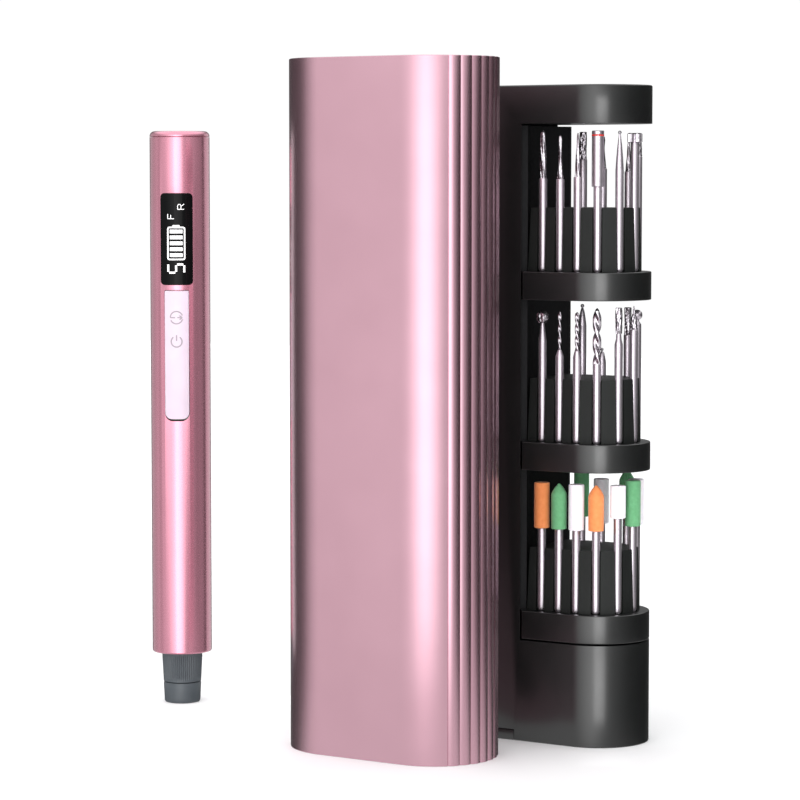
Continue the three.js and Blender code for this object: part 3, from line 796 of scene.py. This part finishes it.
def bit_parts(kind, radius, length, shape, whole):
    """What stands above a steel bit's shank, as (part, profile, shape, material), and the shank's top."""
    start = whole - length
    ball = whole - radius
    if kind in HEAD_CURVES or kind in ("pointed", "rod"):
        collar = [(SHANK - 0.12, start - 0.3), (radius * 1.06, start - 0.12), (radius * 1.06, start + 0.25)]
        body = lifted(head_profile(kind, radius, length - 0.3), start + 0.3)
        return [("head", capped(start - 0.3, collar + body, whole), shape, CARBIDE)], start - 0.2
    if kind == "mandrel":
        wall = [(radius - 0.15, start), (radius, start + 0.15), (radius, whole - 1.3),
                (radius - 0.1, whole - 1.2), (radius - 0.1, whole - 1.05), (radius, whole - 0.95),
                (radius, whole - 0.15), (radius - 0.15, whole)]
        return [("head", capped(start, wall, whole), None, STEEL)], start + 0.1
    if kind == "ball_taper":
        taper = [(SHANK, start - 0.2), (SHANK * 0.98, start), (SHANK * 0.8, start + length * 0.3),
                 (SHANK * 0.55, start + length * 0.62), (radius * 0.5, ball - radius * 0.86)]
        head = capped(ball - radius * 0.92, ball_profile(radius, ball), whole)
        neck = capped(start - 0.2, taper, ball - radius * 0.5)
        return [("neck", neck, None, STEEL), ("head", head, None, GRIT)], start
    if kind == "ball":
        taper = [(SHANK, start - 0.2), (SHANK * 0.98, start + 0.3), (SHANK * 0.5, ball - radius * 1.2),
                 (SHANK * 0.42, ball - radius * 0.8)]
        head = capped(ball - radius * 0.95, ball_profile(radius, ball), whole)
        neck = capped(start - 0.2, taper, ball - radius * 0.6)
        return [("neck", neck, None, STEEL), ("head", head, shape, CARBIDE if shape else STEEL)], start
    if kind == "thin_drill":
        cone_top = start + 0.9
        neck = capped(start - 0.9, [(SHANK, start - 0.9), (radius * 1.1, cone_top)], cone_top)
        body = lifted(head_profile("drill", radius, whole - cone_top + 0.3), cone_top - 0.3)
        head = capped(cone_top - 0.3, body, whole)
        return [("neck", neck, None, STEEL), ("head", head, shape, CARBIDE)], start - 0.7
    if kind == "drill":
        body = lifted(head_profile("drill", radius, length), start)
        return [("head", capped(start, body, whole), shape, CARBIDE)], start + 0.2
    if kind == "necked":
        foot = start - 3.0
        taper = [(SHANK, foot - 0.2), (SHANK, foot), (SHANK * 0.66, foot + 1.6), (SHANK * 0.58, start + 0.2)]
        head = capped(start, lifted(head_profile("rod", radius, length), start), whole)
        neck = capped(foot - 0.2, taper, start + 0.2)
        return [("neck", neck, None, STEEL), ("head", head, shape, CARBIDE)], foot
    rim = [(radius * 0.7, start), (radius, start + 0.25)]
    rim += [(radius, start + 0.25 + (length - 0.5) * t / 10) for t in range(1, 11)]
    rim += [(radius * 0.85, whole), (radius * 0.8, whole - 0.3)]
    return [("head", capped(start, rim, whole - 0.3), shape, CARBIDE)], start + 0.1


def build_steel_bit(tray, number, node):
    place, whole = stood(node)
    kind, radius, length, shape = STEEL_HEADS[tray][number - 1]
    parts, shank_top = bit_parts(kind, radius, length, shape, whole)
    name = f"bit_{tray}_{number:02d}"
    shank = turned(f"{name}_shank", shank_profile(shank_top), place, SHANK_SIDES)
    show(shank, name, "steel", STEEL, node)
    for part, profile, radius_at, material in parts:
        sides = HEAD_SIDES if radius_at else SHANK_SIDES
        piece = turned(f"{name}_{part}", profile, place, sides, radius_at, HEAD_SHARP)
        show(piece, name, "steel", material)
    if kind == "mandrel":
        low = whole - 1.5
        inside, outside = radius - 0.02, radius + 0.04
        band = [(inside, low), (outside, low + 0.04), (outside, low + BAND_HEIGHT),
                (inside, low + BAND_HEIGHT + 0.04), (inside, low)]
        show(turned(f"{name}_band", band, place, 48), name, "steel", RED)


SILICONE_HEADS = [
    ("cylinder", ORANGE), ("ogive", GREEN), ("cylinder", WHITE), ("ogive", ORANGE), ("cylinder", WHITE),
    ("cylinder", GREEN), ("cylinder", WHITE), ("ogive", GREEN), ("cylinder", WHITE), ("cylinder", GREEN),
]
SHORT_POLISHER = 5
SILICONE_SLOTS = {ORANGE: "silicone_orange", GREEN: "silicone_green", WHITE: "silicone_white"}
SILICONE_RADIUS = 2.2


def build_silicone_bit(number, node):
    place, whole = stood(node)
    kind, material = SILICONE_HEADS[number - 1]
    length = 9.2 if number == SHORT_POLISHER else 12.9
    base = whole - length
    r = SILICONE_RADIUS
    head = [(0, base), (r - 0.3, base), (r - 0.06, base + 0.1), (r, base + 0.4), (r * 0.985, base + 1.0),
            (r, base + 1.5)]
    if kind == "cylinder":
        head += [(r, base + length * 0.6), (r, whole - 0.3), (r - 0.08, whole - 0.09), (r - 0.3, whole)]
    else:
        shoulder = whole - 1.55 * r
        head += [(r, base + length * 0.5), (r, shoulder)]
        head += smooth_curve([(r, shoulder + 0.1), (r * 0.92, shoulder + r * 0.35), (r * 0.55, shoulder + r),
                              (r * 0.14, whole - 0.15)], 5)
    head.append((0, whole))
    name = f"bit_3_{number:02d}"
    show(turned(f"{name}_shank", shank_profile(base + 0.3), place, SHANK_SIDES), name, "steel", STEEL)
    polisher = turned(f"{name}_polisher", head, place, 48, sharp=40)
    show(polisher, name, SILICONE_SLOTS[material], material, node)


def build_bits():
    for tray in (1, 2, 3):
        for number, node in enumerate(bit_nodes(tray), 1):
            if tray == 3:
                build_silicone_bit(number, node)
            else:
                build_steel_bit(tray, number, node)


build_bits()


# ---- Handpiece ----

TUBE_LOW = 15.55
SEAM = 171.4
PEN_TOP = 173.1
DISPLAY_LOW = 127.2
DISPLAY_HIGH = 154.5
DISPLAY_HALF = 4.8
KEY_LOW = 86.9
KEY_HIGH = 125.4
KEY_HALF = 3.6
KEY_RADIUS = 9.15


def rounded_window(half, low, high, top_corner, bottom_corner, steps=8):
    """An upright window outline in (across, up), anticlockwise."""
    return (arc(-half + bottom_corner, low + bottom_corner, bottom_corner, 180, 270, steps)
            + arc(half - bottom_corner, low + bottom_corner, bottom_corner, 270, 360, steps)
            + arc(half - top_corner, high - top_corner, top_corner, 0, 90, steps)
            + arc(-half + top_corner, high - top_corner, top_corner, 90, 180, steps))


def front_prism(name, outline, near=20.0, far=5.0):
    """A cutter that runs from the front of the handpiece inwards."""
    rings = [[(x, -far, z) for x, z in outline], [(x, -near, z) for x, z in outline]]
    return loft(name, rings, PEN)


def tube_profile(outer, inner, low, high, edge=0.0, steps=5):
    """A closed ring section whose lower outer edge is rounded by edge."""
    rounding = [(outer, low)]
    if edge:
        rounding = [(outer - edge * (1 - math.sin(t)), low + edge * (1 - math.cos(t)))
                    for t in quarter_turn(steps)]
    return [(inner, low)] + rounding + [(outer, high), (inner, high), (inner, low)]


def build_pen_tube():
    profile = tube_profile(PEN_RADIUS, 4.2, TUBE_LOW, SEAM - 0.12, 0.55)
    piece = turned("handpiece_tube", profile, PEN, 160, sharp=30)
    gap = 0.07
    cutters = [
        front_prism("display_room", rounded_window(
            DISPLAY_HALF + gap, DISPLAY_LOW - gap, DISPLAY_HIGH + gap, 1.25, 1.25)),
        front_prism("key_room", rounded_window(KEY_HALF + 0.12, KEY_LOW - 0.6, KEY_HIGH + 0.15, 0.3, 2.4)),
    ]
    piece = bevelled(carve(piece, cutters), 0.08, 2, 50)
    show(piece, "handpiece", "pink_anodised", PEN_PINK, "pen_body_tube")


def shell(name, radius, inner, low, high):
    return turned(name, tube_profile(radius, inner, low, high), PEN, 160)


def build_display():
    piece = shell("handpiece_display", PEN_RADIUS - 0.02, 7.8, DISPLAY_LOW - 1, DISPLAY_HIGH + 1)
    outline = rounded_window(DISPLAY_HALF, DISPLAY_LOW, DISPLAY_HIGH, 1.2, 1.2)
    piece = carve(piece, [front_prism("display_outline", outline)], "INTERSECT")
    show(piece, "handpiece", "display_black", WINDOW, "pen_display_lens", "pen_display_panel")


def build_key():
    piece = shell("handpiece_key", KEY_RADIUS, 7.9, KEY_LOW - 2, KEY_HIGH + 2)
    outline = rounded_window(KEY_HALF, KEY_LOW, KEY_HIGH, 0.25, 2.0)
    piece = bevelled(carve(piece, [front_prism("key_outline", outline)], "INTERSECT"), 0.12, 2, 50)
    show(piece, "key", "key_white", WHITE_KEY, "pen_key_strip")


# Marks are drawn flat in millimetres across and up, then wrapped onto the round surface they sit on.

def stroke(points, width, closed=False):
    """A flat ribbon along points, as (points, faces)."""
    count = len(points)
    sides = []
    for i in range(count):
        before = Vector(points[i - 1] if closed or i else points[0])
        after = Vector(points[(i + 1) % count] if closed or i < count - 1 else points[-1])
        along = (after - before).normalized()
        normal = Vector((-along.y, along.x)) * (width / 2)
        here = Vector(points[i])
        sides.append((tuple(here + normal), tuple(here - normal)))
    flat = [p for pair in sides for p in pair]
    last = count if closed else count - 1
    faces = [(2 * i, 2 * i + 1, 2 * ((i + 1) % count) + 1, 2 * ((i + 1) % count)) for i in range(last)]
    return flat, faces


def dense(points, step=0.4):
    """The same closed line with no part of it longer than step, so that it can follow a curve."""
    out = []
    for a, b in zip(points, points[1:] + points[:1]):
        out += split_line(a, b, max(1, math.ceil(math.dist(a, b) / step)))[:-1]
    return out


def bar(x0, x1, z0, z1):
    """A filled rectangle, cut into strips so that it can follow a curve."""
    steps = max(1, int((x1 - x0) / 0.3))
    flat = []
    for i in range(steps + 1):
        x = x0 + (x1 - x0) * i / steps
        flat += [(x, z0), (x, z1)]
    faces = [(2 * i, 2 * i + 2, 2 * i + 3, 2 * i + 1) for i in range(steps)]
    return flat, faces


def split_line(start, end, pieces=6):
    return [(start[0] + (end[0] - start[0]) * i / pieces, start[1] + (end[1] - start[1]) * i / pieces)
            for i in range(pieces + 1)]


def wrap_marks(name, marks, radius, thickness, body, slot, material):
    """Joins flat marks into one thin raised piece on the front of a cylinder."""
    points = []
    faces = []
    for flat, flat_faces in marks:
        first = len(points)
        count = len(flat)
        for r in (radius - thickness, radius):
            for x, z in flat:
                a = x / PEN_RADIUS
                points.append((r * math.sin(a), -r * math.cos(a), z))
        edges = {}
        for f in flat_faces:
            for a, b in zip(f, f[1:] + f[:1]):
                edges[(a, b)] = edges.get((a, b), 0) + 1
        for f in flat_faces:
            faces.append(tuple(first + count + v for v in f))
            faces.append(tuple(first + v for v in reversed(f)))
        for a, b in edges:
            if (b, a) not in edges:
                faces.append((first + b, first + a, first + count + a, first + count + b))
    piece = mesh_piece(name, points, faces, PEN)
    edited(piece, lambda bm: bmesh.ops.recalc_face_normals(bm, faces=bm.faces))
    show(piece, body, slot, material)


def letter_strokes(lines, width, origin, size):
    """Strokes drawn in a unit letter box whose top faces left and whose right faces up."""
    marks = []
    for line in lines:
        placed_line = [(origin[0] - v * size[1], origin[1] + u * size[0]) for u, v in line]
        points = []
        for a, b in zip(placed_line, placed_line[1:]):
            points += split_line(a, b, 3)[:-1]
        marks.append(stroke(points + [placed_line[-1]], width))
    return marks


def build_segments():
    """The display: a battery with five bars, a seven-segment 5 on its side, and the letters F and R."""
    centre = (DISPLAY_LOW + DISPLAY_HIGH) / 2
    frame_line = rounded_window(2.55, centre - 6.05, centre + 3.5, 0.5, 0.5, 4)
    marks = [stroke(dense(frame_line), 0.44, closed=True), bar(-1.03, 1.03, centre + 3.6, centre + 4.2)]
    for i in range(5):
        middle = centre + 2.29 - 1.76 * i
        marks.append(bar(-1.92, 1.92, middle - 0.54, middle + 0.54))
    left, mid, right = -2.45, -0.03, 2.4
    low, high = centre - 10.0, centre - 7.55
    short = 0.28
    for a, b in (((left, low + short), (left, high)), ((left + short, low), (mid - short, low)),
                 ((mid, low + short), (mid, high - short)), ((mid + short, high), (right - short, high)),
                 ((right, high - short), (right, low + 0.1))):
        marks.append(stroke(split_line(a, b), 0.6))
    letter_f = [[(0, 0), (0, 1), (1, 1)], [(0, 0.52), (0.8, 0.52)]]
    marks += letter_strokes(letter_f, 0.22, (-0.6, centre + 6.1), (1.4, 1.95))
    bowl = [(0, 1), (0.62, 1), (0.92, 0.88), (0.92, 0.6), (0.62, 0.48), (0, 0.48)]
    letter_r = [[(0, 0), (0, 1)], bowl, [(0.55, 0.48), (1, 0)]]
    marks += letter_strokes(letter_r, 0.2, (2.45, centre + 8.9), (1.6, 1.95))
    wrap_marks("handpiece_segments", marks, PEN_RADIUS + 0.02, 0.05, "handpiece", "display_black", SEGMENTS)


def build_icons():
    power, turn = 110.2, 117.4  # heights of the power sign and of the turn sign
    ring, inner_ring = 1.85, 1.62
    marks = [stroke(arc(0, power, inner_ring, 125, 415, 28), 0.42),
             stroke(split_line((0, power + 2.0), (0, power + 0.2)), 0.42),
             stroke(arc(0, turn, ring, 20, 180, 28), 0.38),
             stroke(arc(0, turn, ring, 205, 345, 28), 0.38),
             stroke(split_line((-ring, turn), (-0.35, turn)), 0.36),
             stroke(split_line((0.25, turn), (1.75, turn)), 0.36)]
    marks += [stroke(split_line((0.9, turn + side), (1.75, turn), 3), 0.34) for side in (0.6, -0.6)]
    wrap_marks("handpiece_key_icons", marks, KEY_RADIUS + 0.012, 0.04, "key", "key_white", ICONS)


def stadium_port(grow):
    radius = 1.63 + grow
    offset = 2.84
    return arc(offset, 0, radius, -90, 90, 20) + arc(-offset, 0, radius, 90, 270, 20)


def build_end_cap():
    fillet = 1.55
    plug_radius, plug_depth = 7.7, 5.0
    top = [(PEN_RADIUS - fillet * (1 - math.cos(t)), PEN_TOP - fillet * (1 - math.sin(t)))
           for t in quarter_turn(8)]
    profile = [(0, SEAM - plug_depth), (plug_radius, SEAM - plug_depth), (plug_radius, SEAM),
               (PEN_RADIUS - 0.12, SEAM), (PEN_RADIUS, SEAM + 0.1)] + top + [(0, PEN_TOP)]
    piece = turned("handpiece_end_cap", profile, PEN, 160, sharp=40)
    room = prism("port_room", stadium_port(0.1), SEAM - plug_depth - 1, PEN_TOP + 1, PEN, 0, 0)
    piece = bevelled(carve(piece, [room], sharp=40), 0.12, 2, 60, 40)
    show(piece, "handpiece", "pink_anodised", PEN_PINK, "pen_end_cap")


def build_port():
    low, high = box_mm("pen_usb_port")
    piece = prism("handpiece_port", stadium_port(0), low[2], high[2], PEN, 0, 0)
    piece = carve(piece, [prism("port_mouth", stadium_port(-0.35), low[2] + 1, high[2] + 1, PEN, 0, 0)])
    show(piece, "handpiece", "steel", TURNED_STEEL, "pen_usb_port")
    blade = slab(-3.3, 3.3, -0.35, 0.35)
    tongue = prism("handpiece_port_tongue", blade, low[2] + 0.9, high[2] - 1.2, PEN, 0.05, 0.1)
    show(tongue, "handpiece", "black_plastic", BLACK)


def build_nose():
    bore, sleeve = 2.9, 3.85
    profile = [(bore, 0), (4.9, 0), (5.2, 0.1), (5.42, 0.45), (5.46, 1.0), (5.68, 5.7), (5.6, 5.95),
               (5.6, 6.15), (sleeve, 6.15), (sleeve, 19.8), (bore, 19.8), (bore, 0)]
    show(turned("handpiece_nose", profile, PEN, 128), "handpiece", "slate_plastic", SLATE, "pen_nose_tip")


def build_collar():
    ribs = 58
    low, high = 6.45, 15.25
    foot, head = 5.7, 6.15

    def ribbed(radius, angle, height):
        if radius < 5:  # the bore
            return radius
        foot_fade = min(1.0, max(0.0, (height - low - 0.5) / 0.9))
        fade = foot_fade * min(1.0, max(0.0, (high - 0.25 - height) / 0.3))
        return radius - 0.2 * fade * (0.5 - 0.5 * math.cos(ribs * angle)) ** 1.4

    shares = [i / 24 for i in range(25)]
    slope = [(foot + (head - foot) * t, low + (high - low) * t) for t in shares]
    profile = [(4.15, low), (5.5, low)] + slope + [(5.9, high), (4.15, high), (4.15, low)]
    piece = turned("handpiece_collar", profile, PEN, ribs * 8, ribbed)
    show(piece, "collar", "slate_plastic", SLATE, "pen_lock_collar")


build_pen_tube()
build_display()
build_key()
build_segments()
build_icons()
build_end_cap()
build_port()
build_nose()
build_collar()


# ---- CAD nodes that stay, with finished materials ----

KEPT = {
    TURNED_STEEL: ("hinge_pin_lower", "hinge_pin_upper", "pen_motor_can", "pen_rotor_shaft",
                   "pen_shaft_coupling", "pen_spindle", "pen_front_bearing", "pen_rear_bearing"),
    BOARD: ("pen_control_board",),
    BLACK: ("pen_key_switch",),
    WRAP: ("pen_battery",),
}
for kept_material, kept_nodes in KEPT.items():
    for kept_node in kept_nodes:
        for kept_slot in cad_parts[kept_node].material_slots:
            kept_slot.material = kept_material


# ---- Stage and light ----

def make_floor():
    reach = 1600.0
    corners = [(x, y, 0) for x, y in slab(-reach, reach, -reach, reach)]
    floor = mesh_piece("floor", corners, [(0, 1, 2, 3)], placed(0, 0))
    floor.data.materials.append(textured("pale floor", (248, 248, 249), 0.6, gloss=(60, 2, 0.55, 0.65)))
    floor.visible_glossy = False


def area_light(name, location, target, width, height, power, spread):
    data = bpy.data.lights.new(name, "AREA")
    data.shape = "RECTANGLE"
    data.size = width
    data.size_y = height
    data.energy = power
    data.spread = math.radians(spread)
    light = bpy.data.objects.new(name, data)
    light.location = location
    light.visible_camera = False
    light.rotation_euler = (Vector(target) - Vector(location)).to_track_quat("-Z", "Y").to_euler()
    bpy.context.scene.collection.objects.link(light)


VIEW_AZIMUTH = EYE_TURN - 90.0  # degrees from +X of the direction from the case to the eye

# How bright the studio is at each number of degrees round from the eye, negative to its left.
STUDIO = [(-180, 0.2), (-170, 0.14), (-158, 0.08), (-146, 0.07), (-125, 0.07), (-112, 0.09), (-101, 0.2),
          (-95, 0.36), (-86, 0.6), (-79, 0.75), (-71, 0.92), (-63, 1.06), (-55, 1.08), (-48, 1.25),
          (-41, 1.6), (-34, 2.0), (-25, 2.5), (-16, 2.7), (-8, 2.35), (-1, 1.9), (6, 1.4), (14, 0.95),
          (22, 0.72), (31, 0.55), (40, 0.42), (50, 0.3), (62, 0.16), (76, 0.08), (100, 0.03), (140, 0.04),
          (160, 0.1), (180, 0.2)]
STUDIO_PEAK = 2.7
OVERHEAD = 1.7
GROUND = 0.9
BACKDROP = 1.02
OVERHEAD_FROM, OVERHEAD_TO = 0.3, 0.75  # how steeply up a direction has to go
GROUND_FROM, GROUND_TO = -0.34, -0.5


def make_studio():
    """The world that the pieces reflect: brightest just left of the eye, dark beyond it to the right."""
    world = bpy.data.worlds.new("studio")
    bpy.context.scene.world = world
    world.use_nodes = True
    tree = world.node_tree

    def share_of(value, low, high, interpolation):
        node = add_node(tree, "MapRange", Value=value, From_Min=low, From_Max=high)
        node.interpolation_type = interpolation
        return node.outputs["Result"]

    def blended(share, value, level):
        """value, giving way to an even grey of this level as share goes to 1."""
        mix = add_node(tree, "Mix")
        mix.data_type = "RGBA"
        mix.inputs[7].default_value = (level / STUDIO_PEAK,) * 3 + (1,)
        tree.links.new(share, mix.inputs[0])
        tree.links.new(value, mix.inputs[6])
        return mix.outputs[2]

    coordinates = add_node(tree, "TexCoord")
    turn = add_node(tree, "Mapping", Vector=coordinates.outputs["Generated"],
                    Rotation=(0, 0, -math.radians(VIEW_AZIMUTH)))
    split = add_node(tree, "SeparateXYZ", Vector=turn.outputs["Vector"])
    angle = add_node(tree, "Math")
    angle.operation = "ARCTAN2"
    tree.links.new(split.outputs["Y"], angle.inputs[0])
    tree.links.new(split.outputs["X"], angle.inputs[1])
    ramp = add_node(tree, "ValToRGB", Fac=share_of(angle.outputs["Value"], -math.pi, math.pi, "LINEAR"))
    elements = ramp.color_ramp.elements
    while len(elements) < len(STUDIO):
        elements.new(0.5)
    for element, (degrees, level) in zip(elements, STUDIO):
        element.position = (degrees + 180) / 360
        element.color = (level / STUDIO_PEAK,) * 3 + (1,)
    steepness = split.outputs["Z"]
    up = share_of(steepness, OVERHEAD_FROM, OVERHEAD_TO, "SMOOTHSTEP")
    down = share_of(steepness, GROUND_FROM, GROUND_TO, "SMOOTHSTEP")
    light = blended(down, blended(up, ramp.outputs["Color"], OVERHEAD), GROUND)
    path = add_node(tree, "LightPath")
    seen = blended(path.outputs["Is Camera Ray"], light, BACKDROP)
    fill(tree, tree.nodes["Background"], {"Color": seen, "Strength": STUDIO_PEAK})


# (name, x and y of the piece it lights, azimuth from the eye's, distance, width, radiance, spread in degrees)
STRIPS = (
    ("pen_left_strip", (pen_x, pen_y), -108, 32, 34, 0.55, 180),
    ("pen_front_strip", (pen_x, pen_y), -2, 32, 15, 1.3, 180),
    ("pen_near_strip", (pen_x, pen_y), 60, 32, 40, 0.36, 180),
    ("pen_right_strip", (pen_x, pen_y), 122, 32, 24, 0.8, 180),
    ("rack_strip", (rack_x + END_OFFSET, rack_y), 0, 40, 14, 0.75, 80),
)
STRIP_HEIGHT = 184.0


def make_strips():
    """Tall narrow lights close to the handpiece and the rack that brighten their round sides."""
    for name, (x, y), azimuth, distance, width, level, spread in STRIPS:
        a = math.radians(VIEW_AZIMUTH + azimuth)
        middle = STRIP_HEIGHT / 2 * MM
        place = ((x + distance * math.cos(a)) * MM, (y + distance * math.sin(a)) * MM, middle)
        power = level * math.pi * width * MM * STRIP_HEIGHT * MM
        area_light(name, place, (x * MM, y * MM, middle), width * MM, STRIP_HEIGHT * MM, power, spread)


make_floor()
make_studio()
make_strips()
bpy.context.scene.view_settings.view_transform = "Standard"
